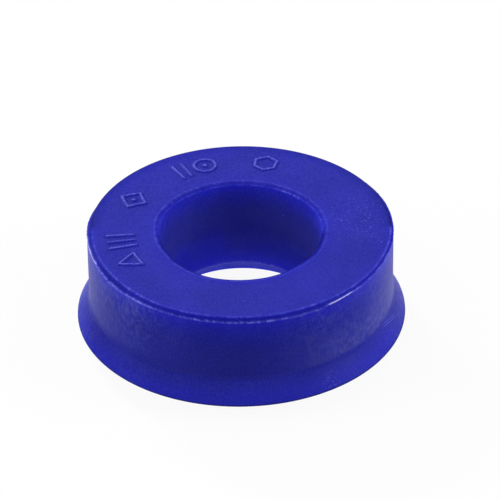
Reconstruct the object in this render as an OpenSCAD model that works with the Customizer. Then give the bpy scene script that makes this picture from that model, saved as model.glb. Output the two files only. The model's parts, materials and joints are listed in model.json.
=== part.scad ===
// U-cup seal for a rod or a piston, moulded in one piece.
// The heel is up and the lips are down. All sizes are in millimetres.
// The origin is on the axis, level with the tip of the outer lip.

/* [Rod and gland] */
// Diameter of the rod that runs through the seal
rod_d = 8; // [6:0.1:10]
// Diameter of the bored gland that the seal sits in
gland_d = 16; // [14:0.1:20]
// Gap on each side between the rod and the bore of the heel
rod_gap = 0.2; // [0.1:0.05:0.4]
// Gap on each side between the gland's wall and the heel
gland_gap = 0.15; // [0.1:0.05:0.4]

/* [Ring] */
// Height from the heel's flat face down to the tip of the outer lip
height = 6; // [4.5:0.1:10]
// Width of the chamfer round the outside of the heel, measured across the face
heel_chamfer_w = 0.12; // [0.05:0.01:0.5]
// Height of the chamfer round the outside of the heel
heel_chamfer_h = 0.28; // [0.05:0.01:0.5]
// Width of the chamfer round the bore, measured across the face
bore_chamfer_w = 0.25; // [0.05:0.05:0.8]
// Height of the chamfer round the bore
bore_chamfer_h = 0.1; // [0.05:0.05:0.8]

/* [Outer lip] */
// How far the outer sealing edge stands out past the gland's wall when free
outer_squeeze = 0.5; // [0.2:0.05:1]
// Height of the outer sealing edge above the tip of the outer lip
outer_edge_h = 1; // [0.4:0.05:1.4]
// Height of the flare from the outer sealing edge up to the crease in the wall
outer_flare_h = 1.3; // [0.6:0.05:2]
// Width of the bevel from the outer sealing edge in to the tip
outer_bevel_w = 1.4; // [0.8:0.05:1.8]

/* [Inner lip] */
// How far the inner sealing edge stands inside the rod's surface when free
inner_squeeze = 0.5; // [0.2:0.05:1]
// How much shorter the inner lip is than the outer lip
inner_lip_short = 0.5; // [0:0.05:0.8]
// Height of the inner sealing edge above the tip of the inner lip
inner_edge_h = 1; // [0.4:0.05:1.4]
// Height of the flare from the inner sealing edge up to the bore of the heel
inner_flare_h = 1; // [0.6:0.05:2]
// Width of the bevel from the inner sealing edge out to the tip
inner_bevel_w = 0.85; // [0.4:0.05:1.2]

/* [Groove] */
// Depth of the groove between the lips, from the tip of the outer lip
groove_depth = 2.9; // [2:0.1:3.8]
// Radius of the groove's round bottom
groove_bottom_r = 0.55; // [0.3:0.05:0.8]
// Width of the flat land at the tip of each lip
tip_land = 0.2; // [0.1:0.05:0.3]

/* [Hidden] */

// Facets round a full turn
round_fn = 180;
// Straight steps in the groove's round bottom
groove_steps = 24;

// Radii of the heel's two walls
bore_r = rod_d / 2 + rod_gap;
heel_r = gland_d / 2 - gland_gap;
// Radii of the two free sealing edges
inner_edge_r = rod_d / 2 - inner_squeeze;
outer_edge_r = gland_d / 2 + outer_squeeze;
// Radii where each bevel ends on the land of its lip
inner_tip_r = inner_edge_r + inner_bevel_w;
outer_tip_r = outer_edge_r - outer_bevel_w;
// Heights of the two sealing edges and of the ends of the two flares
inner_edge_z = inner_lip_short + inner_edge_h;
inner_flare_z = inner_edge_z + inner_flare_h;
outer_flare_z = outer_edge_h + outer_flare_h;

// Radius at which the groove's round bottom runs, so that the two lips have roots of one thickness
groove_mid_r = (bore_r + heel_r) / 2;
// Height of the centre of the groove's round bottom
groove_mid_z = groove_depth - groove_bottom_r;

// Corners of the groove's mouth, on the land of each lip
inner_mouth = [inner_tip_r + tip_land, inner_lip_short];
outer_mouth = [outer_tip_r - tip_land, 0];

// Direction from the centre of the round bottom to the point where the flank that rises from a corner
// of the mouth touches it. side is 1 for the outer lip's flank and -1 for the inner lip's
function flank_angle(mouth, side) =
    let (
        across = mouth[0] - groove_mid_r,
        down = groove_mid_z - mouth[1],
        reach = sqrt(across * across + down * down)
    )
    side * acos(groove_bottom_r / reach) - atan2(down, across);

// Points of the round bottom from the outer lip's flank over the top to the inner lip's flank
function groove_bottom() =
    let (
        start = flank_angle(outer_mouth, 1),
        end = flank_angle(inner_mouth, -1) + 360
    )
    [
        for (step = [0:groove_steps])
            let (angle = start + (end - start) * step / groove_steps)
            [
                groove_mid_r + groove_bottom_r * cos(angle),
                groove_mid_z + groove_bottom_r * sin(angle)
            ]
    ];

// Half section of the ring: up the inner lip, over the heel, down the outer lip and round the groove
module seal_section() {
    inner_lip = [
        inner_mouth,
        [inner_tip_r, inner_lip_short],
        [inner_edge_r, inner_edge_z],
        [bore_r, inner_flare_z]
    ];
    heel = [
        [bore_r, height - bore_chamfer_h],
        [bore_r + bore_chamfer_w, height],
        [heel_r - heel_chamfer_w, height],
        [heel_r, height - heel_chamfer_h]
    ];
    outer_lip = [
        [heel_r, outer_flare_z],
        [outer_edge_r, outer_edge_h],
        [outer_tip_r, 0],
        outer_mouth
    ];
    polygon(concat(inner_lip, heel, outer_lip, groove_bottom()));
}

module seal_ring() {
    color([0.16, 0.17, 0.62])
        rotate_extrude($fn = round_fn)
            seal_section();
}

seal_ring();
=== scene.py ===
import json
import math

import bpy
import numpy as np
from mathutils import Matrix, Vector


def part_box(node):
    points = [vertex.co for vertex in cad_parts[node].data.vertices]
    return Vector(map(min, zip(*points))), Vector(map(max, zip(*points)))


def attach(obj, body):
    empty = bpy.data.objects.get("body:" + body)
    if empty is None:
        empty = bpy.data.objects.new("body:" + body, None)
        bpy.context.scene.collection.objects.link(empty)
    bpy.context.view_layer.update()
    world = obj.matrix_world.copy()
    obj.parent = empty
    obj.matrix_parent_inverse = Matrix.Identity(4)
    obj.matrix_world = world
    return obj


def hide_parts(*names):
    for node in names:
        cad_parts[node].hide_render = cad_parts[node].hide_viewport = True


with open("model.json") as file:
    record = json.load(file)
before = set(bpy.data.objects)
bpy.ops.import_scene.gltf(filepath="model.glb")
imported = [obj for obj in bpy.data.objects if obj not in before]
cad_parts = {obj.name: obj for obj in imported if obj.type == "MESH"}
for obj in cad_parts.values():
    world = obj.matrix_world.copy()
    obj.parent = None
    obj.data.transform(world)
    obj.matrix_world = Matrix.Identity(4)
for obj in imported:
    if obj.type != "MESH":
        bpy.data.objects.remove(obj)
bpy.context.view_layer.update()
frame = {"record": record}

MM = 0.001

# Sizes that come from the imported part
low_corner, high_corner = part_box("seal_ring")
mounts = {mount["name"]: mount for mount in frame["record"]["mounts"]}


def span_of(name):
    """Radius, lowest height and highest height of a round mount's wall, in metres."""
    mount = mounts[name]
    half_length = mount["dims"]["length_mm"] * MM / 2
    middle = mount["pos_m"][2]
    return mount["dims"]["r_mm"] * MM, middle - half_length, middle + half_length


HEEL_Z = high_corner.z
OUTER_EDGE_R = (high_corner.x - low_corner.x) / 2
BORE_R, INNER_FLARE_Z, BORE_CHAMFER_Z = span_of("rod_bore")
WALL_R, CREASE_Z, HEEL_CHAMFER_Z = span_of("gland_wall")

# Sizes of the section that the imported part's record doesn't state
BORE_CHAMFER_W = 0.25 * MM
HEEL_CHAMFER_W = 0.12 * MM
OUTER_EDGE_Z = 1.0 * MM
OUTER_TIP_R = 7.1 * MM
INNER_EDGE_R = 3.5 * MM
INNER_EDGE_Z = 1.5 * MM
INNER_TIP_R = 4.35 * MM
INNER_TIP_Z = 0.5 * MM
TIP_LAND = 0.2 * MM
GROOVE_DEPTH = 2.9 * MM
GROOVE_BOTTOM_R = 0.55 * MM
GROOVE_MID_R = (BORE_R + WALL_R) / 2
GROOVE_STEPS = 12

# Corners of the section, each as a radius and a height
INNER_LIP_EDGE = (INNER_EDGE_R, INNER_EDGE_Z)
BORE_CREASE = (BORE_R, INNER_FLARE_Z)
BORE_EDGE = (BORE_R, BORE_CHAMFER_Z)
BORE_FACE_EDGE = (BORE_R + BORE_CHAMFER_W, HEEL_Z)
FACE_EDGE = (WALL_R - HEEL_CHAMFER_W, HEEL_Z)
OUTER_CORNER = (WALL_R, HEEL_CHAMFER_Z)
WALL_CREASE = (WALL_R, CREASE_Z)
OUTER_LIP_EDGE = (OUTER_EDGE_R, OUTER_EDGE_Z)

# Radii of the corners' small roundings, and of the two creases' wide ones, where no hard line shows
SHARP_ROUND = 0.03 * MM
TIP_ROUND = 0.06 * MM
FACE_ROUND = 0.05 * MM
BORE_ROUND = 0.06 * MM
CREASE_ROUND = 1.2 * MM
INNER_CREASE_ROUND = 2.2 * MM
ROUND_STEP = 0.04 * MM
MOST_ROUND_STEPS = 8

# Extra points along the section's sides: their insets from each end, and the sides that get them
SUPPORT_INSETS = (0.03 * MM, 0.09 * MM)
SHORTEST_SUPPORTED = 0.18 * MM
LONGEST_STEP = 0.8 * MM

# Raised marks on the heel's face, and the strength of the painted highlight along their crests
MARK_MID_R = 6.15 * MM
MARK_HALF_BAND = 0.85 * MM
MARK_RING_STEP = 0.04 * MM
MARK_SIZE = 0.62 * MM
PIP_R = 0.05 * MM
STROKE_HALF_W = 0.04 * MM
STROKE_EDGE = 0.07 * MM
STROKE_WOBBLE = 0.012 * MM
MARK_RAISE = 0.07 * MM
MARK_HIGHLIGHT = 1.05

# How far the bore's upper end is out of round: out at the front and the right, in at the left
RIM_SLACK = 0.18 * MM

# How far the trim of the heel's outer corner wanders: up the wall at the sides, and in across the face
CORNER_LIFT = 0.22 * MM
FACE_EDGE_SHIFT = 0.17 * MM

# How far from the corner that wandering blends away, and how much the painted highlight line along it
# wavers
TRIM_BLEND = 0.6 * MM
TRIM_WANDER = 0.013 * MM

# Trimmed flash on the corner between the heel's chamfer and the wall
FLASH_RAISE = 0.022 * MM
FLASH_SPREAD = 0.025 * MM

# Widths of the painted highlight lines on the edges and of the painted glint, and how far a thin lip's
# painted glow reaches
EDGE_LINE_W = 0.045 * MM
GLINT_LINE_W = 0.03 * MM
RIM_LINE_W = 0.05 * MM
LIP_LINE_W = 0.07 * MM
THIN_LIP_REACH = 0.9 * MM

# Places in the section, as a radius and a height: a painted glint, the painted shade under it, and two in
# the bore
GLINT_PLACE = (WALL_R - 0.02 * MM, HEEL_CHAMFER_Z + 0.045 * MM)
UNDER_GLINT_PLACE = (WALL_R, HEEL_CHAMFER_Z - 0.04 * MM)
ON_BORE_CHAMFER = (BORE_R + 0.1 * MM, BORE_CHAMFER_Z)
UPPER_BORE = (BORE_R, HEEL_Z - 0.5 * MM)

# Heights below which the looks of the bore, the low wall and the wall's foot come in
BORE_LOOKS_TOP_Z = HEEL_Z - 0.4 * MM
LOW_WALL_TOP_Z = HEEL_Z - 1.0 * MM
FOOT_TOP_Z = CREASE_Z + 2.0 * MM

# The height at which the foot's looks are full, and the depth over which the flare's come in
FOOT_FULL_Z = CREASE_Z + 0.6 * MM
FLARE_FADE_H = 1.2 * MM

# How far from a wall's radius a point may lie and still count as on it
ON_WALL_SLACK = 0.01 * MM

# Where looks lie round the ring. Each row has a start, an end and the softness of both ends in degrees,
# and a share. The front is at 270, the right at 0 and the left at 180
# Rows for the painted highlight lines along the heel's outer corner, the face's outer edge and the bore's
# chamfer, and for a painted glint at the front's right
TRIM_EVEN = [(178, 232, 4, 0.7), (184, 199, 4, 1), (226, 234, 4, 0.3), (236, 252, 4, 0.2)]
TRIM_EVEN += [(254, 282, 4, 0.3), (286, 299, 4, 0.3), (318, 345, 4, 0.35)]
TRIM_BEADS = [(178, 232, 4, 0.3), (236, 252, 4, 0.4), (277, 282, 2, 0.2), (286, 299, 4, 0.4)]
TRIM_BEADS += [(303, 316, 2, 0.3), (0, 174, 4, 0.2)]
TRIM_STRONG_BEADS = [(254, 282, 4, 0.75)]
TRIM_DASHES = [(318, 345, 4, 0.6)]
GLINT_DASH = [(305, 314, 3, 2.4)]
RIM_HIGHLIGHT = [(186, 295, 4, 0.35), (222, 240, 4, 0.2), (299, 366, 4, 0.6), (297, 303, 3, 0.3)]
BORE_HIGHLIGHT = [(190, 250, 4, 0.15)]
BORE_BEADS = [(42, 58, 4, 0.8)]
# Rows for the painted sheen on the wall's right and left
WALL_SHEEN_RIGHT = [(303, 340, 20, 0.26)]
WALL_SHEEN_RIGHT_LOW = [(326, 348, 30, 0.74), (344, 356, 8, 0.15)]
WALL_SHEEN_RIGHT_HIGH = [(290, 303, 8, 0.12), (333, 344, 10, 0.5)]
WALL_SHEEN_LEFT = [(184, 226, 16, 0.32), (172, 187, 8, 0.3)]
WALL_SHEEN_LEFT_HIGH = [(184, 226, 16, 0.42), (226, 244, 12, 0.25)]
# Gaps in the painted grey sheen inside the bore
BORE_SHEEN_GAPS = [(15, 50, 15, 0.35), (140, 165, 15, 0.35)]

# Levels of the skin's reflection on the heel's face and elsewhere
FACE_GLOSS = 0.36
SIDE_GLOSS = 0.5

# A patch of fine scratches on the flare: its middle, its reach, and the width and turn of its lines
SCUFF_PLACE = (4.45 * MM, -7.0 * MM, 1.35 * MM)
SCUFF_REACH = 0.75 * MM
SCUFF_LINE_W = 0.09 * MM
SCUFF_TURN = math.radians(25)

# Pale specks: a few in patches all over, and many about a place on the heel's face
SPECK_HALF_W = 0.04 * MM
FEW_SPECKS_PITCH = 0.8 * MM
SPECK_PATCH_SIZE = 1.7 * MM
MANY_SPECKS_PITCH = 0.2 * MM
SPECK_PLACE = (6.4 * MM, 0.8 * MM, HEEL_Z)
SPECK_REACH = 3.0 * MM

# A pair of long scratches just under the crease: their middle, the direction across them and their sizes
SCRATCH_PLACE = (7.55 * MM, -2.62 * MM, 1.96 * MM)
SCRATCH_ACROSS = (0.336, -0.36, -0.87)
SCRATCH_GAP = 0.13 * MM
SCRATCH_W = 0.035 * MM
SCRATCH_REACH = 1.1 * MM

# Sizes of the skin's noises, and how high two of them stand as fine unevenness
CLOUD_SIZE = 2.5 * MM
MOTTLE_SIZE = 0.4 * MM
GRAIN_SIZE = 0.07 * MM
FRAY_SIZE = 0.11 * MM
STREAK_SIZE = 0.1 * MM
MOTTLE_BUMP = 0.05 * MM
GRAIN_BUMP = 0.012 * MM

# The skin's roughness, from its lowest to its highest
ROUGHNESS_RANGE = (0.32, 0.5)

# The skin's colours: its own dark and light grain, a painted glow through thin parts, a painted shade, a
# painted sheen with fine grain, painted highlights with real damage, near-white painted highlights, and
# painted shade on dark edges
DARK_GRAIN = (0.009, 0.012, 0.30, 1)
LIGHT_GRAIN = (0.024, 0.027, 0.50, 1)
THIN_LIP_BLUE = (0.02, 0.022, 0.75, 1)
SHADE_PAINT_BLUE = (0.008, 0.009, 0.24, 1)
SHEEN_AND_GRAIN_BLUE = (0.13, 0.14, 0.47, 1)
HIGHLIGHT_AND_DAMAGE_BLUE = (0.17, 0.18, 0.82, 1)
HIGHLIGHT_WHITE = (0.75, 0.76, 1.0, 1)
DARK_EDGE_BLUE = (0.008, 0.011, 0.2, 1)

# How the skin bends light, and how far light scatters in it, for red, green and blue
SKIN_IOR = 1.15
SCATTER_REACH = 2.1 * MM
SCATTER_SHARES = (0.09, 0.09, 1.0)

# The floor's half side in metres, its white where it is seen, the share of that white that shows even in
# shadow, and its grey to other light
FLOOR_REACH = 2.0
FLOOR_WHITE = 1.0
FLOOR_GLOW = 0.93
FLOOR_GREY = 0.3

# Strength of the world's light, which is white only where it is seen
WORLD_LIGHT = 0.46

# Each lamp's name, place, width, power in watts and the point that it is turned to
RING_MIDDLE = (0, 0, HEEL_Z / 2)
LAMPS = [
    ("behind", (-0.13, 0.20, 0.15), 0.05, 0.37, RING_MIDDLE),
    ("under", (0, 0, 0.05 * MM), 2 * (INNER_TIP_R + 1.0 * MM), 0.0002, (0, 0, 1)),
    ("left", (-0.25, -0.05, 0.09), 0.14, 0.32, RING_MIDDLE),
    ("right", (0.25, -0.05, 0.09), 0.14, 0.35, RING_MIDDLE),
]

# The photograph's view: the camera turns about the middle of the heel's face
PHOTO_SIDE_PX = 500
HEEL_MID_PX = (240.14, 228.95)
VIEW_ELEVATION = math.radians(34.44)
VIEW_ROLL = math.radians(-0.948)
VIEW_DISTANCE = 0.2163
FOCAL_PX = 4224.4
SENSOR_W = 36.0


def arc(centre, radius, start, end, steps):
    """Points on an arc, both ends included, from one angle to the other."""
    angles = np.linspace(start, end, steps + 1)
    return [(centre[0] + radius * math.cos(a), centre[1] + radius * math.sin(a)) for a in angles]


def rounded_corner(before, corner, after, radius):
    """Points of an arc that rounds a corner of an outline, tangent to both of its sides."""
    corner = Vector(corner)
    to_before = (Vector(before) - corner).normalized()
    to_after = (Vector(after) - corner).normalized()
    half = to_before.angle(to_after) / 2
    centre = corner + (to_before + to_after).normalized() * (radius / math.sin(half))
    first = corner + to_before * (radius / math.tan(half)) - centre
    last = corner + to_after * (radius / math.tan(half)) - centre
    start = math.atan2(first.y, first.x)
    turn = (math.atan2(last.y, last.x) - start + math.pi) % math.tau - math.pi
    steps = min(max(2, round(radius * abs(turn) / ROUND_STEP)), MOST_ROUND_STEPS)
    return arc(centre, radius, start, start + turn, steps)


def flank_angle(mouth, centre, side):
    """Direction from the centre of the groove's round bottom to where a flank touches it."""
    across = mouth[0] - centre[0]
    down = centre[1] - mouth[1]
    reach = math.hypot(across, down)
    return side * math.acos(GROOVE_BOTTOM_R / reach) - math.atan2(down, across)


def groove_bottom(inner_mouth, outer_mouth):
    """Points of the groove's round bottom, from the outer lip's flank to the inner lip's."""
    centre = (GROOVE_MID_R, GROOVE_DEPTH - GROOVE_BOTTOM_R)
    start = flank_angle(outer_mouth, centre, 1)
    end = flank_angle(inner_mouth, centre, -1) + math.tau
    return arc(centre, GROOVE_BOTTOM_R, start, end, GROOVE_STEPS)


def with_supports(outline):
    """The closed outline with extra points on its sides, close to the ends so that shading stays flat."""
    points = []
    for here, there in zip(outline, outline[1:] + outline[:1]):
        points.append(here)
        side = Vector(there) - Vector(here)
        ends = [inset for inset in SUPPORT_INSETS if 2.5 * inset < side.length]
        if not ends or side.length < SHORTEST_SUPPORTED:
            continue
        free = side.length - 2 * ends[-1]
        count = max(1, math.ceil(free / LONGEST_STEP))
        middle = np.linspace(ends[-1], side.length - ends[-1], count + 1)
        places = ends[:-1] + list(middle) + [side.length - inset for inset in reversed(ends[:-1])]
        points += [tuple(Vector(here) + side.normalized() * place) for place in places]
    return points


def section_outline():
    """Half section of the ring as (radius, height) points: up the inner lip, over the heel and round."""
    inner_mouth = (INNER_TIP_R + TIP_LAND, INNER_TIP_Z)
    outer_mouth = (OUTER_TIP_R - TIP_LAND, low_corner.z)
    corners = [
        (inner_mouth, TIP_ROUND),
        ((INNER_TIP_R, INNER_TIP_Z), TIP_ROUND),
        (INNER_LIP_EDGE, SHARP_ROUND),
        (BORE_CREASE, INNER_CREASE_ROUND),
        (BORE_EDGE, BORE_ROUND),
        (BORE_FACE_EDGE, FACE_ROUND),
        (FACE_EDGE, FACE_ROUND),
        (OUTER_CORNER, SHARP_ROUND),
        (WALL_CREASE, CREASE_ROUND),
        (OUTER_LIP_EDGE, SHARP_ROUND),
        ((OUTER_TIP_R, low_corner.z), TIP_ROUND),
        (outer_mouth, TIP_ROUND),
    ]
    bottom = groove_bottom(inner_mouth, outer_mouth)
    ring = [bottom[-1]] + [corner for corner, radius in corners] + [bottom[0]]
    outline = []
    for index, (corner, radius) in enumerate(corners):
        outline += rounded_corner(ring[index], corner, ring[index + 2], radius)
    return with_supports(outline + bottom)


def on_face(height):
    """Whether each place lies on the heel's flat face."""
    return np.abs(height - HEEL_Z) < 1e-9


def with_mark_rings(outline):
    """The outline with close points across the band of the heel's face that holds the marks."""
    low_r = MARK_MID_R - MARK_HALF_BAND
    high_r = MARK_MID_R + MARK_HALF_BAND
    kept = [(r, z) for r, z in outline if not (on_face(z) and low_r < r < high_r)]
    place = max(index for index, (r, z) in enumerate(kept) if on_face(z) and r <= low_r)
    count = round((high_r - low_r) / MARK_RING_STEP)
    band = [(r, HEEL_Z) for r in np.linspace(low_r, high_r, count + 1)]
    return kept[: place + 1] + band + kept[place + 1 :]


def angles_round():
    """Angles of the ring's slices: closest where the marks are, close in front, wider behind."""
    # Degrees from slice to slice
    fine = 0.36
    front = 0.6
    back = 1.1
    stretches = [(69, 85, fine), (85, 98, back), (98, 127, fine), (127, 144, back), (144, 162, fine)]
    stretches += [(162, 179, back), (179, 214, fine), (214, 340, front), (340, 429, back)]
    angles = []
    for start, end, step in stretches:
        count = round((end - start) / step)
        angles += list(np.linspace(start, end, count, endpoint=False))
    return np.radians(np.array(angles))


def smooth_step(value):
    """Rises smoothly from 0 to 1 as the value does, and stays level outside."""
    value = np.clip(value, 0, 1)
    return value * value * (3 - 2 * value)


def rise(value, start, end):
    """0 up to the start, 1 past the end and smooth in between. The end may be the lower of the two."""
    return smooth_step((value - start) / (end - start))


def to_segment(u, v, start, end):
    """Distance from each (u, v) to a straight stroke."""
    along = np.array(end, float) - np.array(start, float)
    share = ((u - start[0]) * along[0] + (v - start[1]) * along[1]) / (along @ along)
    share = np.clip(share, 0, 1)
    return np.hypot(u - start[0] - share * along[0], v - start[1] - share * along[1])


def to_polygon(u, v, count, radius):
    """Distance from each (u, v) to the outline of a regular polygon that has a corner outwards."""
    turns = np.arange(count) * math.tau / count
    corners = [(radius * math.sin(turn), radius * math.cos(turn)) for turn in turns]
    sides = [to_segment(u, v, a, b) for a, b in zip(corners, corners[1:] + corners[:1])]
    return np.min(sides, axis=0)


def to_ring(u, v, radius):
    """Distance from each (u, v) to a ring."""
    return np.abs(np.hypot(u, v) - radius)


def to_pip(u, v):
    """Distance from each (u, v) to a round pip, below 0 inside it."""
    return np.hypot(u, v) - PIP_R


def to_bars(u, v, count, pitch, half_length):
    """Distance from each (u, v) to a row of bars that lie along the radius."""
    places = (np.arange(count) - (count - 1) / 2) * pitch
    bars = [to_segment(u, v, (place, -half_length), (place, half_length)) for place in places]
    return np.min(bars, axis=0)


def mark_distances(angle, radius):
    """Distance in metres from each place on the heel's face to the nearest stroke of a mark."""
    # Each mark's place round the ring in degrees, and its shape about that place
    marks = [
        (77, lambda u, v: to_polygon(u, v, 6, MARK_SIZE)),
        (107, lambda u, v: np.minimum(to_ring(u, v, 0.9 * MARK_SIZE), to_pip(u, v))),
        (119, lambda u, v: to_bars(u, v, 2, 0.5 * MM, MARK_SIZE)),
        (153, lambda u, v: np.minimum(to_polygon(u, v, 4, 1.1 * MARK_SIZE), to_pip(u, v))),
        (189, lambda u, v: to_bars(u, v, 3, 0.52 * MM, 1.1 * MARK_SIZE)),
        (206, lambda u, v: to_polygon(u, v, 3, 1.1 * MARK_SIZE)),
    ]
    nearest = np.full(angle.shape, 1.0)
    for place, distance in marks:
        turn = (angle - math.radians(place) + math.pi) % math.tau - math.pi
        u = -turn * MARK_MID_R
        v = radius - MARK_MID_R
        nearest = np.minimum(nearest, distance(u, v))
    return nearest


def uneven(angle, seed, lowest, highest):
    """A repeatable uneven line round the ring, from about -1 to 1. Its waves in a turn lie in a range."""
    chance = np.random.RandomState(seed)
    counts = chance.randint(lowest, highest, 24)
    phases = chance.uniform(0, math.tau, 24)
    waves = [np.sin(count * angle + phase) for count, phase in zip(counts, phases)]
    return np.sum(waves, axis=0) / math.sqrt(len(waves))


def stretch(angle, start, end, soft=4):
    """1 between two angles given in degrees, 0 elsewhere, with soft ends."""
    middle = math.radians((start + end) / 2)
    turn = np.degrees(np.abs((angle - middle + math.pi) % math.tau - math.pi))
    return smooth_step(((end - start) / 2 + soft - turn) / soft)


def shares_round(angle, rows):
    """The sum of some stretches, each with its own softness and share."""
    return sum(share * stretch(angle, start, end, soft) for start, end, soft, share in rows)


def near_point(radius, height, place, reach):
    """Falls off from 1 with the distance in the section from a (radius, height) place."""
    return np.exp(-((np.hypot(radius - place[0], height - place[1]) / reach) ** 2))


def on_wall(radius, height):
    """Whether each place lies on the outer wall above its crease."""
    return (radius > WALL_R - ON_WALL_SLACK) & (height > CREASE_Z)


def on_flare(radius, height):
    """Whether each place lies on the outer lip past the wall's radius, below the crease."""
    return (radius > WALL_R) & (height < CREASE_Z)


def trim_highlight(angle, radius, height, beads, dashes):
    """The painted highlight line along the heel's trimmed outer corner, with a painted glint at the
    front's right.
    """
    pale = shares_round(angle, TRIM_EVEN) + beads * shares_round(angle, TRIM_BEADS)
    pale += beads * beads * shares_round(angle, TRIM_STRONG_BEADS)
    pale += dashes * shares_round(angle, TRIM_DASHES)
    wander = TRIM_WANDER * uneven(angle, 13, 30, 120)
    line = pale * near_point(radius, height + wander, OUTER_CORNER, EDGE_LINE_W)
    return line + shares_round(angle, GLINT_DASH) * near_point(radius, height, GLINT_PLACE, GLINT_LINE_W)


def rim_highlight(angle, radius, height, beads, dashes):
    """The painted highlight line along the outer edge of the heel's face."""
    pale = 0.1 + shares_round(angle, RIM_HIGHLIGHT)
    pale *= (0.5 + 0.5 * beads) * (0.4 + 0.6 * dashes)
    return pale * near_point(radius, height, FACE_EDGE, RIM_LINE_W)


def bore_highlights(angle, radius, height, beads, dashes):
    """The painted highlight lines along the two edges of the bore's chamfer, with beads on the lower one
    behind.
    """
    pale = 0.35 + shares_round(angle, BORE_HIGHLIGHT)
    pale *= (0.7 + 0.2 * beads) * (0.5 + 0.5 * dashes)
    upper = pale * near_point(radius, height, BORE_FACE_EDGE, EDGE_LINE_W)
    pale += beads * shares_round(angle, BORE_BEADS)
    lower = pale * near_point(radius, height, BORE_EDGE, EDGE_LINE_W)
    return upper + 0.8 * lower


def lip_highlight(radius, height, dashes):
    """The painted highlight line along the inner lip's sealing edge, with a faint wide painted light about
    it.
    """
    line = (0.45 + 0.2 * dashes) * near_point(radius, height, INNER_LIP_EDGE, LIP_LINE_W)
    return line + 0.05 * near_point(radius, height, INNER_LIP_EDGE, THIN_LIP_REACH)


def edge_highlight_paint(angle, radius, height):
    """How pale each edge is painted as a highlight line: pale at 1, near white at 2."""
    beads = smooth_step(0.5 + 0.5 * uneven(angle, 11, 40, 90) + 0.5 * uneven(angle, 15, 90, 220))
    dashes = smooth_step(0.6 + 0.9 * uneven(angle, 12, 12, 60))
    worn = trim_highlight(angle, radius, height, beads, dashes)
    worn += rim_highlight(angle, radius, height, beads, dashes)
    worn += bore_highlights(angle, radius, height, beads, dashes)
    return worn + lip_highlight(radius, height, dashes)


def vivid(angle, radius, height):
    """How much brighter the blue is where light comes through the thin lips and the heel's corner."""
    down_flare = rise(height, CREASE_Z, CREASE_Z - FLARE_FADE_H) * on_flare(radius, height)
    corner = near_point(radius, height, OUTER_CORNER, 0.72 * MM) * (radius > WALL_R - HEEL_CHAMFER_W)
    outer = 0.26 * down_flare * stretch(angle, 245, 335, 40)
    outer += 0.28 * near_point(radius, height, OUTER_LIP_EDGE, 0.6 * MM)
    outer += 0.4 * corner * stretch(angle, 184, 356)
    inner_lip = near_point(radius, height, INNER_LIP_EDGE, THIN_LIP_REACH) * (height > INNER_EDGE_Z)
    above_lip = near_point(radius, height, BORE_CREASE, THIN_LIP_REACH)
    inner = 0.6 * inner_lip + 0.5 * above_lip * stretch(angle, 108, 175, 12)
    inner += 0.15 * near_point(radius, height, UPPER_BORE, 0.5 * MM)
    return outer + inner


def dark_corners(angle, radius, height):
    """Painted shade: how dark each place is painted along the corners that stand against the light, and
    under the painted glint.
    """
    far_rim = near_point(radius, height, FACE_EDGE, 0.14 * MM) * stretch(angle, 2, 176)
    near_edge = near_point(radius, height, BORE_EDGE, 0.09 * MM) * stretch(angle, 190, 350, 14)
    near_chamfer = near_point(radius, height, ON_BORE_CHAMFER, 0.3 * MM) * stretch(angle, 202, 350, 14)
    under_glint = near_point(radius, height, UNDER_GLINT_PLACE, GLINT_LINE_W) * stretch(angle, 304, 313, 3)
    lip = near_point(radius, height, OUTER_LIP_EDGE, 0.09 * MM)
    return far_rim + 0.9 * near_edge + 0.35 * near_chamfer + 0.8 * under_glint + lip


def gloss(angle, worn, radius, height):
    """The skin's level of reflection: none on the painted highlights, the bore's chamfer or below the
    lips' edges.
    """
    edge_z = np.where(radius < GROOVE_MID_R, INNER_EDGE_Z, OUTER_EDGE_Z)
    level = np.where(height > HEEL_CHAMFER_Z + 0.02 * MM, FACE_GLOSS, SIDE_GLOSS)
    level *= (radius > BORE_R + BORE_CHAMFER_W) | (height < BORE_CHAMFER_Z - 0.05 * MM)
    level *= np.where((radius > WALL_R - HEEL_CHAMFER_W) & (height > HEEL_CHAMFER_Z), 0.3, 1)
    level *= 1 - 0.35 * stretch(angle, 184, 234, 12) * rise(height, CREASE_Z, CREASE_Z - 0.3 * MM)
    return level * np.clip(1 - worn / 0.4, 0, 1) * (height > edge_z + 0.02 * MM)


def shade_paint_share(angle, radius, height):
    """How much painted shade darkens the skin: on the chamfers, in the bore, the wall's left, the flare's
    sides.
    """
    chamfer_start = WALL_R - HEEL_CHAMFER_W
    outer_chamfer = rise(radius, chamfer_start, chamfer_start + 0.03 * MM) * (height > HEEL_CHAMFER_Z)
    outer_chamfer = outer_chamfer * (0.65 + 0.25 * stretch(angle, 180, 215, 12))
    inside = radius < BORE_R + BORE_CHAMFER_W
    bore_chamfer = inside * rise(height, BORE_CHAMFER_Z, BORE_CHAMFER_Z + 0.03 * MM)
    mid_bore = inside * rise(height, INNER_FLARE_Z - 0.1 * MM, INNER_FLARE_Z + 0.9 * MM)
    mid_bore = mid_bore * rise(height, BORE_LOOKS_TOP_Z, BORE_LOOKS_TOP_Z - 1.2 * MM)
    mid_bore = mid_bore * (0.5 + 0.3 * stretch(angle, 15, 55, 20))
    low_wall = rise(height, LOW_WALL_TOP_Z, LOW_WALL_TOP_Z - 1.0 * MM) * stretch(angle, 196, 272, 28)
    wall = (low_wall + stretch(angle, 180, 200, 14)) * on_wall(radius, height)
    up_flare = rise(height, OUTER_EDGE_Z, OUTER_EDGE_Z + 0.9 * MM)
    flare = (0.25 + 0.75 * up_flare) * stretch(angle, 176, 202, 16)
    flare += 0.5 * up_flare * stretch(angle, 202, 234, 14) + 0.5 * stretch(angle, 346, 364, 10)
    flare = flare * on_flare(radius, height)
    return outer_chamfer + 0.45 * bore_chamfer + mid_bore + 0.3 * wall + 0.5 * flare


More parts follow.
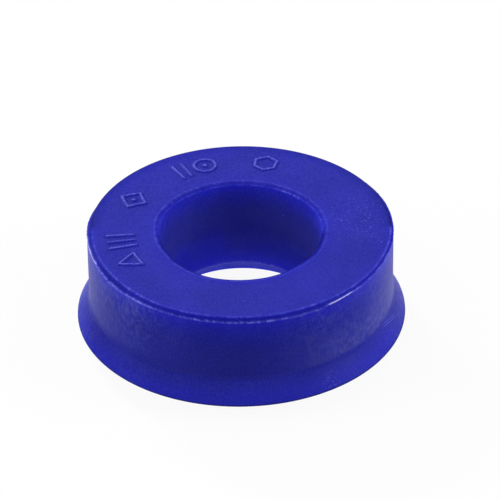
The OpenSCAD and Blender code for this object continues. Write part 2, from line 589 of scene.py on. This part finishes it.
def cloudiness(worn, on_mark, dark):
    """The share of light that passes through the skin: none on the painted highlights, little on the fine
    marks.
    """
    return np.clip(1 - 2 * worn, 0, 1) * (1 - 0.85 * on_mark) * np.clip(1 - dark, 0, 1)


def bloom(angle, radius, height):
    """How much painted sheen lies on each place of the wall, from 0 to 1."""
    foot = rise(height, FOOT_TOP_Z, FOOT_FULL_Z)
    right = shares_round(angle, WALL_SHEEN_RIGHT) + foot * shares_round(angle, WALL_SHEEN_RIGHT_LOW)
    right += (1 - foot) * shares_round(angle, WALL_SHEEN_RIGHT_HIGH)
    high = rise(height, CREASE_Z + 0.7 * MM, CREASE_Z + 2.9 * MM)
    left = shares_round(angle, WALL_SHEEN_LEFT) + high * shares_round(angle, WALL_SHEEN_LEFT_HIGH)
    left *= rise(height, CREASE_Z, FOOT_FULL_Z)
    above_crease = rise(height, CREASE_Z, CREASE_Z + 0.12 * MM)
    return np.clip(right + left, 0, 1) * above_crease * on_wall(radius, height)


def film(angle, radius, height):
    """The share of an even painted grey sheen on the inside of the bore, the wall's foot and the flare."""
    above_lip = rise(height, INNER_FLARE_Z + 0.7 * MM, INNER_FLARE_Z + 0.1 * MM)
    in_bore = rise(height, BORE_LOOKS_TOP_Z, BORE_LOOKS_TOP_Z - 1.5 * MM) * (1 + 0.8 * above_lip)
    in_bore *= (1 - shares_round(angle, BORE_SHEEN_GAPS)) * (radius < BORE_R + ON_WALL_SLACK)
    low_wall = rise(height, LOW_WALL_TOP_Z, LOW_WALL_TOP_Z - 1.4 * MM)
    foot = rise(height, FOOT_TOP_Z, FOOT_FULL_Z) * rise(height, CREASE_Z, CREASE_Z + 0.15 * MM)
    wall = (0.045 * low_wall + 0.1 * foot * stretch(angle, 304, 308, 18)) * on_wall(radius, height)
    down_flare = rise(height, CREASE_Z, CREASE_Z - FLARE_FADE_H) * on_flare(radius, height)
    return 0.09 * in_bore + wall + 0.035 * down_flare * stretch(angle, 262, 340, 30)


def face_marks(angle, radius, height):
    """How high the marks stand, where they are, where the painted shade at their foot is and where a
    painted highlight lies along their crests.
    """
    in_band = on_face(height) & (np.abs(radius - MARK_MID_R) < MARK_HALF_BAND)
    wobble = STROKE_WOBBLE * uneven(angle + radius / MARK_MID_R, 21, 80, 420)
    stroke = (STROKE_HALF_W + STROKE_EDGE + wobble - mark_distances(angle, radius)) / STROKE_EDGE
    raised = np.where(in_band, MARK_RAISE * smooth_step(stroke), 0)
    on_mark = in_band * smooth_step(stroke + 0.5)
    foot = in_band * rise(stroke, -0.9, -0.3) * rise(stroke, 0.2, -0.2)
    highlight_lines = MARK_HIGHLIGHT * np.clip(0.75 + 0.35 * uneven(angle, 5, 60, 400), 0, 1)
    return raised, on_mark, foot, highlight_lines * on_mark * smooth_step((stroke - 0.8) * 1.8)


def flash_width(angle, radius, height):
    """How far the ragged flash stands out from the heel's outer corner."""
    ragged = np.clip(0.6 + 0.5 * uneven(angle, 3, 20, 260), 0.1, 1.6)
    return FLASH_RAISE * ragged * near_point(radius, height, OUTER_CORNER, FLASH_SPREAD)


def corner_lift(angle, radius, height):
    """How far up the wall each place near the heel's outer corner moves, where the trim ran high."""
    outside = radius > WALL_R - HEEL_CHAMFER_W - TRIM_BLEND
    up_wall = rise(height, HEEL_CHAMFER_Z - TRIM_BLEND, HEEL_CHAMFER_Z)
    down_chamfer = np.clip((HEEL_Z - height) / (HEEL_Z - HEEL_CHAMFER_Z), 0, 1)
    lift = CORNER_LIFT * (stretch(angle, 339, 372, 46) + stretch(angle, 178, 192, 22))
    return lift * np.minimum(up_wall, down_chamfer) * outside


def face_edge_shift(angle, radius, height):
    """How far in each place near the outer edge of the heel's face moves, where the trim cut wide."""
    chamfer_start = WALL_R - HEEL_CHAMFER_W
    out_face = rise(radius, chamfer_start - TRIM_BLEND, chamfer_start)
    in_chamfer = np.clip((WALL_R - radius) / HEEL_CHAMFER_W, 0, 1) * (height > HEEL_CHAMFER_Z)
    shift = stretch(angle, 180, 208, 40) * stretch(angle, 184, 300, 20)
    shift += 0.35 * stretch(angle, 300, 340, 20)
    return FACE_EDGE_SHIFT * shift * np.minimum(out_face, in_chamfer)


def rim_slack(angle, radius, height):
    """How far out each place at the bore's upper end moves, where the rim isn't quite round."""
    share = np.maximum(stretch(angle, 252, 288, 42), 0.46 * stretch(angle, 290, 328, 22))
    share = share - 0.37 * stretch(angle, 178, 208, 12)
    band_start = MARK_MID_R - MARK_HALF_BAND
    near_bore = rise(radius, band_start, band_start - 0.5 * MM)
    return RIM_SLACK * share * rise(height, HEEL_Z - 0.6 * MM, HEEL_Z - 0.1 * MM) * near_bore


def closed_mesh(name, points):
    """A smooth mesh on a grid of points that closes both round the ring and round its section."""
    slices, across = points.shape[:2]
    here = np.arange(slices)[:, None] * across + np.arange(across)[None, :]
    there = np.roll(here, -1, axis=0)
    faces = np.stack([here, np.roll(here, -1, axis=1), np.roll(there, -1, axis=1), there], axis=-1)
    mesh = bpy.data.meshes.new(name)
    mesh.from_pydata(points.reshape(-1, 3).tolist(), [], faces.reshape(-1, 4).tolist())
    mesh.polygons.foreach_set("use_smooth", [True] * len(mesh.polygons))
    return mesh


def make_ring():
    """The whole seal as one closed mesh: its section turned round the axis, with marks, flash and trim."""
    outline = np.array(with_mark_rings(section_outline()))
    angle, radius = np.meshgrid(angles_round(), outline[:, 0], indexing="ij")
    height = np.broadcast_to(outline[:, 1], angle.shape).copy()

    # Painted highlight lines along the edges, and a painted highlight along the marks' crests
    worn = edge_highlight_paint(angle, radius, height)
    raised, on_mark, foot, highlight_lines = face_marks(angle, radius, height)
    worn += highlight_lines
    height += raised
    # Painted shade along some corners and at the marks' feet
    dark = dark_corners(angle, radius, height) + 0.8 * foot
    # The layers: painted highlights, painted glow, painted shade, painted sheen on the wall, painted grey
    # sheen, more painted shade, and the skin's gloss and cloudiness
    layers = {
        "worn": worn,
        "vivid": vivid(angle, radius, height),
        "dark": dark,
        "bloom": bloom(angle, radius, height),
        "film": film(angle, radius, height),
        "clear": shade_paint_share(angle, radius, height),
        "gloss": gloss(angle, worn, radius, height),
        "cloudiness": cloudiness(worn, on_mark, dark),
    }

    radius = radius + flash_width(angle, radius, height)
    lift = corner_lift(angle, radius, height)
    radius = radius - face_edge_shift(angle, radius, height)
    height = height + lift
    radius = radius + rim_slack(angle, radius, height)

    points = np.stack([radius * np.cos(angle), radius * np.sin(angle), height], axis=-1)
    mesh = closed_mesh("polyurethane_ring", points)
    for name, values in layers.items():
        layer = mesh.attributes.new(name, "FLOAT", "POINT")
        layer.data.foreach_set("value", values.reshape(-1).astype(np.float32))
    mesh.update()
    piece = bpy.data.objects.new("polyurethane_ring", mesh)
    bpy.context.scene.collection.objects.link(piece)
    return piece


class Skin:
    """Short ways to add shader nodes to one material."""

    def __init__(self, material):
        self.nodes = material.node_tree.nodes
        self.links = material.node_tree.links
        self.place = self.nodes.new("ShaderNodeTexCoord").outputs["Object"]

    def layer(self, name):
        """One of the mesh's layers."""
        node = self.nodes.new("ShaderNodeAttribute")
        node.attribute_name = name
        return node.outputs["Fac"]

    def noise(self, size, detail, roughness, place=None):
        """Cloudy noise with spots of about a size."""
        node = self.nodes.new("ShaderNodeTexNoise")
        node.inputs["Scale"].default_value = 1 / size
        node.inputs["Detail"].default_value = detail
        node.inputs["Roughness"].default_value = roughness
        self.links.new(self.place if place is None else place, node.inputs["Vector"])
        return node.outputs["Fac"]

    def drawn_out(self, scale, turn=0):
        """The place, turned about the ring's axis and scaled along each axis, for long spots of noise."""
        node = self.nodes.new("ShaderNodeMapping")
        node.inputs["Rotation"].default_value = (0, 0, turn)
        node.inputs["Scale"].default_value = scale
        self.links.new(self.place, node.inputs["Vector"])
        return node.outputs["Vector"]

    def ramp(self, value, low, high, low_result, high_result):
        """Turns a value of one range into one of another, and stays level outside."""
        node = self.nodes.new("ShaderNodeMapRange")
        node.inputs["From Min"].default_value = low
        node.inputs["From Max"].default_value = high
        node.inputs["To Min"].default_value = low_result
        node.inputs["To Max"].default_value = high_result
        self.links.new(value, node.inputs["Value"])
        return node.outputs["Result"]

    def maths(self, operation, first, second):
        """The sum or the product of two values, kept from 0 to 1."""
        node = self.nodes.new("ShaderNodeMath")
        node.operation = operation
        node.use_clamp = True
        self.links.new(first, node.inputs[0])
        self.links.new(second, node.inputs[1])
        return node.outputs["Value"]

    def with_constant(self, operation, vector, constant, output):
        """What a vector operation gives for a vector and a constant one."""
        node = self.nodes.new("ShaderNodeVectorMath")
        node.operation = operation
        node.inputs[1].default_value = constant
        self.links.new(vector, node.inputs[0])
        return node.outputs[output]

    def near(self, centre, reach):
        """1 near a place, 0 past the reach."""
        distance = self.with_constant("DISTANCE", self.place, centre, "Value")
        return self.ramp(distance, 0.4 * reach, reach, 1, 0)

    def dots(self, pitch, half_width):
        """Scattered dots, one to each cell of a pitch."""
        node = self.nodes.new("ShaderNodeTexVoronoi")
        node.inputs["Scale"].default_value = 1 / pitch
        self.links.new(self.place, node.inputs["Vector"])
        size = half_width / pitch
        return self.ramp(node.outputs["Distance"], 0.6 * size, 1.4 * size, 1, 0)

    def pair_of_lines(self, centre, across, gap, width):
        """1 in two thin parallel sheets, one on each side of a place, 0 elsewhere."""
        from_centre = self.with_constant("SUBTRACT", self.place, centre, "Vector")
        side = self.with_constant("DOT_PRODUCT", from_centre, across, "Value")
        either_side = self.nodes.new("ShaderNodeMath")
        either_side.operation = "ABSOLUTE"
        self.links.new(side, either_side.inputs[0])
        line = self.nodes.new("ShaderNodeMath")
        line.operation = "COMPARE"
        line.inputs[1].default_value = gap / 2
        line.inputs[2].default_value = width / 2
        self.links.new(either_side.outputs["Value"], line.inputs[0])
        return line.outputs["Value"]

    def blend(self, share, first, second):
        """One colour blended into another. The first may be a socket."""
        node = self.nodes.new("ShaderNodeMix")
        node.data_type = "RGBA"
        self.links.new(share, node.inputs["Factor"])
        for socket, colour in ((node.inputs["A"], first), (node.inputs["B"], second)):
            if isinstance(colour, tuple):
                socket.default_value = colour
            else:
                self.links.new(colour, socket)
        return node.outputs["Result"]

    def bump(self, height, strength, distance, normal=None):
        """A normal that follows a height, on top of another normal where there is one."""
        node = self.nodes.new("ShaderNodeBump")
        node.inputs["Strength"].default_value = strength
        node.inputs["Distance"].default_value = distance
        self.links.new(height, node.inputs["Height"])
        if normal:
            self.links.new(normal, node.inputs["Normal"])
        return node.outputs["Normal"]


def damage_and_highlights(skin, mottle):
    """How pale the skin is along the painted highlights, and where it is speckled, scuffed or scratched.
    """
    fray = skin.ramp(skin.noise(FRAY_SIZE, 2, 0.6), 0.38, 0.58, 0.5, 1.3)
    highlight_lines = skin.maths("MULTIPLY", skin.layer("worn"), fray)

    patches = skin.ramp(skin.noise(SPECK_PATCH_SIZE, 1, 0.5), 0.6, 0.62, 0, 0.4)
    few = skin.maths("MULTIPLY", skin.dots(FEW_SPECKS_PITCH, SPECK_HALF_W), patches)
    many = skin.dots(MANY_SPECKS_PITCH, SPECK_HALF_W)
    many = skin.maths("MULTIPLY", many, skin.near(SPECK_PLACE, SPECK_REACH))
    many = skin.maths("MULTIPLY", many, skin.ramp(mottle, 0.35, 0.65, 0, 0.65))

    fine_lines = skin.noise(SCUFF_LINE_W, 1, 0.5, skin.drawn_out((0.08, 1, 1), SCUFF_TURN))
    scuff = skin.ramp(fine_lines, 0.56, 0.64, 0, 0.35)
    scuff = skin.maths("MULTIPLY", scuff, skin.near(SCUFF_PLACE, SCUFF_REACH))

    scratch = skin.pair_of_lines(SCRATCH_PLACE, SCRATCH_ACROSS, SCRATCH_GAP, SCRATCH_W)
    scratch = skin.maths("MULTIPLY", scratch, skin.ramp(mottle, 0.3, 0.6, 0.25, 0.7))
    scratch = skin.maths("MULTIPLY", scratch, skin.near(SCRATCH_PLACE, SCRATCH_REACH))

    specks = skin.maths("ADD", few, many)
    lines = skin.maths("ADD", scuff, scratch)
    return skin.maths("ADD", highlight_lines, skin.maths("ADD", specks, lines))


def sheen_and_grain(skin, mottle, grain):
    """The share of pale sheen: an even painted grey sheen, a fine grain, and painted sheen in blotches
    drawn out up the wall.
    """
    streaks = skin.noise(STREAK_SIZE, 2, 0.6, skin.drawn_out((1, 1, 0.25)))
    blotch = skin.ramp(mottle, 0.39, 0.61, 0, 0.66)
    blotch = skin.maths("MULTIPLY", blotch, skin.ramp(streaks, 0.3, 0.7, 0.25, 1.15))
    even = skin.maths("ADD", skin.layer("film"), skin.ramp(grain, 0.35, 0.65, 0, 0.08))
    return skin.maths("ADD", even, skin.maths("MULTIPLY", skin.layer("bloom"), blotch))


def skin_colour(skin, cloud, mottle, grain):
    """The skin's colour: speckled blue under the mesh's layers of painted glow and painted shade, the
    painted sheen, and the damage and painted highlights.
    """
    speckle = skin.maths("ADD", skin.ramp(cloud, 0.35, 0.65, 0, 0.3), skin.ramp(grain, 0.3, 0.7, 0, 0.7))
    colour = skin.blend(speckle, DARK_GRAIN, LIGHT_GRAIN)
    colour = skin.blend(skin.layer("vivid"), colour, THIN_LIP_BLUE)
    colour = skin.blend(skin.layer("clear"), colour, SHADE_PAINT_BLUE)
    colour = skin.blend(sheen_and_grain(skin, mottle, grain), colour, SHEEN_AND_GRAIN_BLUE)
    colour = skin.blend(damage_and_highlights(skin, mottle), colour, HIGHLIGHT_AND_DAMAGE_BLUE)
    # Near-white painted highlights where the highlight share passes 1
    colour = skin.blend(skin.ramp(skin.layer("worn"), 1, 2, 0, 1), colour, HIGHLIGHT_WHITE)
    return skin.blend(skin.layer("dark"), colour, DARK_EDGE_BLUE)


def polyurethane():
    """Dark blue cast polyurethane, satin and slightly cloudy, with a mottled skin, painted sheen and
    shade, and painted highlights on its edges.
    """
    material = bpy.data.materials.new("polyurethane")
    material.use_nodes = True
    skin = Skin(material)
    cloud = skin.noise(CLOUD_SIZE, 4, 0.55)
    mottle = skin.noise(MOTTLE_SIZE, 4, 0.7)
    grain = skin.noise(GRAIN_SIZE, 2, 0.6)
    fine_bump = skin.bump(grain, 0.6, GRAIN_BUMP)

    shader = skin.nodes["Principled BSDF"]
    shader.inputs["IOR"].default_value = SKIN_IOR
    shader.inputs["Subsurface Radius"].default_value = SCATTER_SHARES
    shader.inputs["Subsurface Scale"].default_value = SCATTER_REACH
    skin.links.new(skin_colour(skin, cloud, mottle, grain), shader.inputs["Base Color"])
    skin.links.new(skin.layer("cloudiness"), shader.inputs["Subsurface Weight"])
    skin.links.new(skin.layer("gloss"), shader.inputs["Specular IOR Level"])
    skin.links.new(skin.ramp(mottle, 0.3, 0.7, *ROUGHNESS_RANGE), shader.inputs["Roughness"])
    skin.links.new(skin.bump(mottle, 0.6, MOTTLE_BUMP, fine_bump), shader.inputs["Normal"])
    return material


def seen_directly(nodes, links):
    """A socket: 1 for what the camera, a reflection or a refraction sees, and 0 for scattered light."""
    rays = nodes.new("ShaderNodeLightPath")
    total = rays.outputs["Is Camera Ray"]
    for name in ("Is Glossy Ray", "Is Transmission Ray"):
        add = nodes.new("ShaderNodeMath")
        add.operation = "ADD"
        add.use_clamp = True
        links.new(total, add.inputs[0])
        links.new(rays.outputs[name], add.inputs[1])
        total = add.outputs["Value"]
    return total


def floor_paint():
    """The floor's paint: white with a soft shadow where it is seen, grey in the light it throws back."""
    material = bpy.data.materials.new("floor")
    material.use_nodes = True
    nodes = material.node_tree.nodes
    links = material.node_tree.links
    nodes.remove(nodes["Principled BSDF"])

    def paint(value):
        node = nodes.new("ShaderNodeBsdfDiffuse")
        node.inputs["Color"].default_value = (value, value, value, 1)
        return node.outputs["BSDF"]

    def mix(share, first, second):
        node = nodes.new("ShaderNodeMixShader")
        if isinstance(share, float):
            node.inputs["Fac"].default_value = share
        else:
            links.new(share, node.inputs["Fac"])
        links.new(first, node.inputs[1])
        links.new(second, node.inputs[2])
        return node.outputs["Shader"]

    glow = nodes.new("ShaderNodeEmission")
    seen = mix(FLOOR_GLOW, paint(FLOOR_WHITE), glow.outputs["Emission"])
    both = mix(seen_directly(nodes, links), paint(FLOOR_GREY), seen)
    links.new(both, nodes["Material Output"].inputs["Surface"])
    return material


def make_floor():
    """A plain square floor, level with the tip of the outer lip."""
    corner_signs = [(-1, -1), (1, -1), (1, 1), (-1, 1)]
    corners = [(x * FLOOR_REACH, y * FLOOR_REACH, low_corner.z) for x, y in corner_signs]
    mesh = bpy.data.meshes.new("floor")
    mesh.from_pydata(corners, [], [(0, 1, 2, 3)])
    floor = bpy.data.objects.new("floor", mesh)
    bpy.context.scene.collection.objects.link(floor)
    floor.data.materials.append(floor_paint())


def add_area_light(name, place, size, power, aim):
    """A square soft light at a place, turned towards a point."""
    data = bpy.data.lights.new(name, "AREA")
    data.size = size
    data.energy = power
    lamp = bpy.data.objects.new(name, data)
    lamp.location = place
    lamp.rotation_mode = "QUATERNION"
    lamp.rotation_quaternion = (Vector(aim) - Vector(place)).to_track_quat("-Z", "Y")
    bpy.context.scene.collection.objects.link(lamp)
    return lamp


def light_world():
    """A pale world: white where it is seen, weaker in the light that it gives."""
    world = bpy.data.worlds.new("studio")
    bpy.context.scene.world = world
    world.use_nodes = True
    nodes = world.node_tree.nodes
    links = world.node_tree.links
    background = nodes["Background"]
    background.inputs["Color"].default_value = (1, 1, 1, 1)
    strength = nodes.new("ShaderNodeMapRange")
    strength.inputs["To Min"].default_value = WORLD_LIGHT
    strength.inputs["To Max"].default_value = 1.0
    links.new(seen_directly(nodes, links), strength.inputs["Value"])
    links.new(strength.outputs["Result"], background.inputs["Strength"])


def light_scene():
    """Soft studio light: lamps behind, left and right, a weak hidden one under the bore, a pale world."""
    lamps = {row[0]: add_area_light(*row) for row in LAMPS}
    under = lamps["under"]
    under.data.shape = "DISK"
    under.visible_camera = False
    under.visible_glossy = False
    light_world()


def make_camera():
    """The camera at the photograph's angle, turned so that the heel's middle falls where it does there."""
    back = Vector((0, -math.cos(VIEW_ELEVATION), math.sin(VIEW_ELEVATION)))
    level_right = Vector((1, 0, 0))
    level_up = back.cross(level_right)
    right = level_right * math.cos(VIEW_ROLL) + level_up * math.sin(VIEW_ROLL)
    up = level_up * math.cos(VIEW_ROLL) - level_right * math.sin(VIEW_ROLL)
    level = Matrix((right, up, back)).transposed()
    across = (HEEL_MID_PX[0] - PHOTO_SIDE_PX / 2) / FOCAL_PX
    above = (PHOTO_SIDE_PX / 2 - HEEL_MID_PX[1]) / FOCAL_PX
    aim = Vector((across, above, -1)).rotation_difference(Vector((0, 0, -1))).to_matrix()
    data = bpy.data.cameras.new("camera")
    data.sensor_width = SENSOR_W
    data.lens = FOCAL_PX / PHOTO_SIDE_PX * SENSOR_W
    data.clip_start = 0.01
    data.clip_end = 10
    camera = bpy.data.objects.new("camera", data)
    heel_mid = Vector((0, 0, HEEL_Z))
    camera.matrix_world = Matrix.Translation(heel_mid + back * VIEW_DISTANCE) @ (level @ aim).to_4x4()
    bpy.context.scene.collection.objects.link(camera)
    bpy.context.scene.camera = camera


ring = make_ring()
ring.data.materials.append(polyurethane())
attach(ring, "root")
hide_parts("seal_ring")

make_floor()
light_scene()
make_camera()
bpy.context.scene.view_settings.view_transform = "Standard"
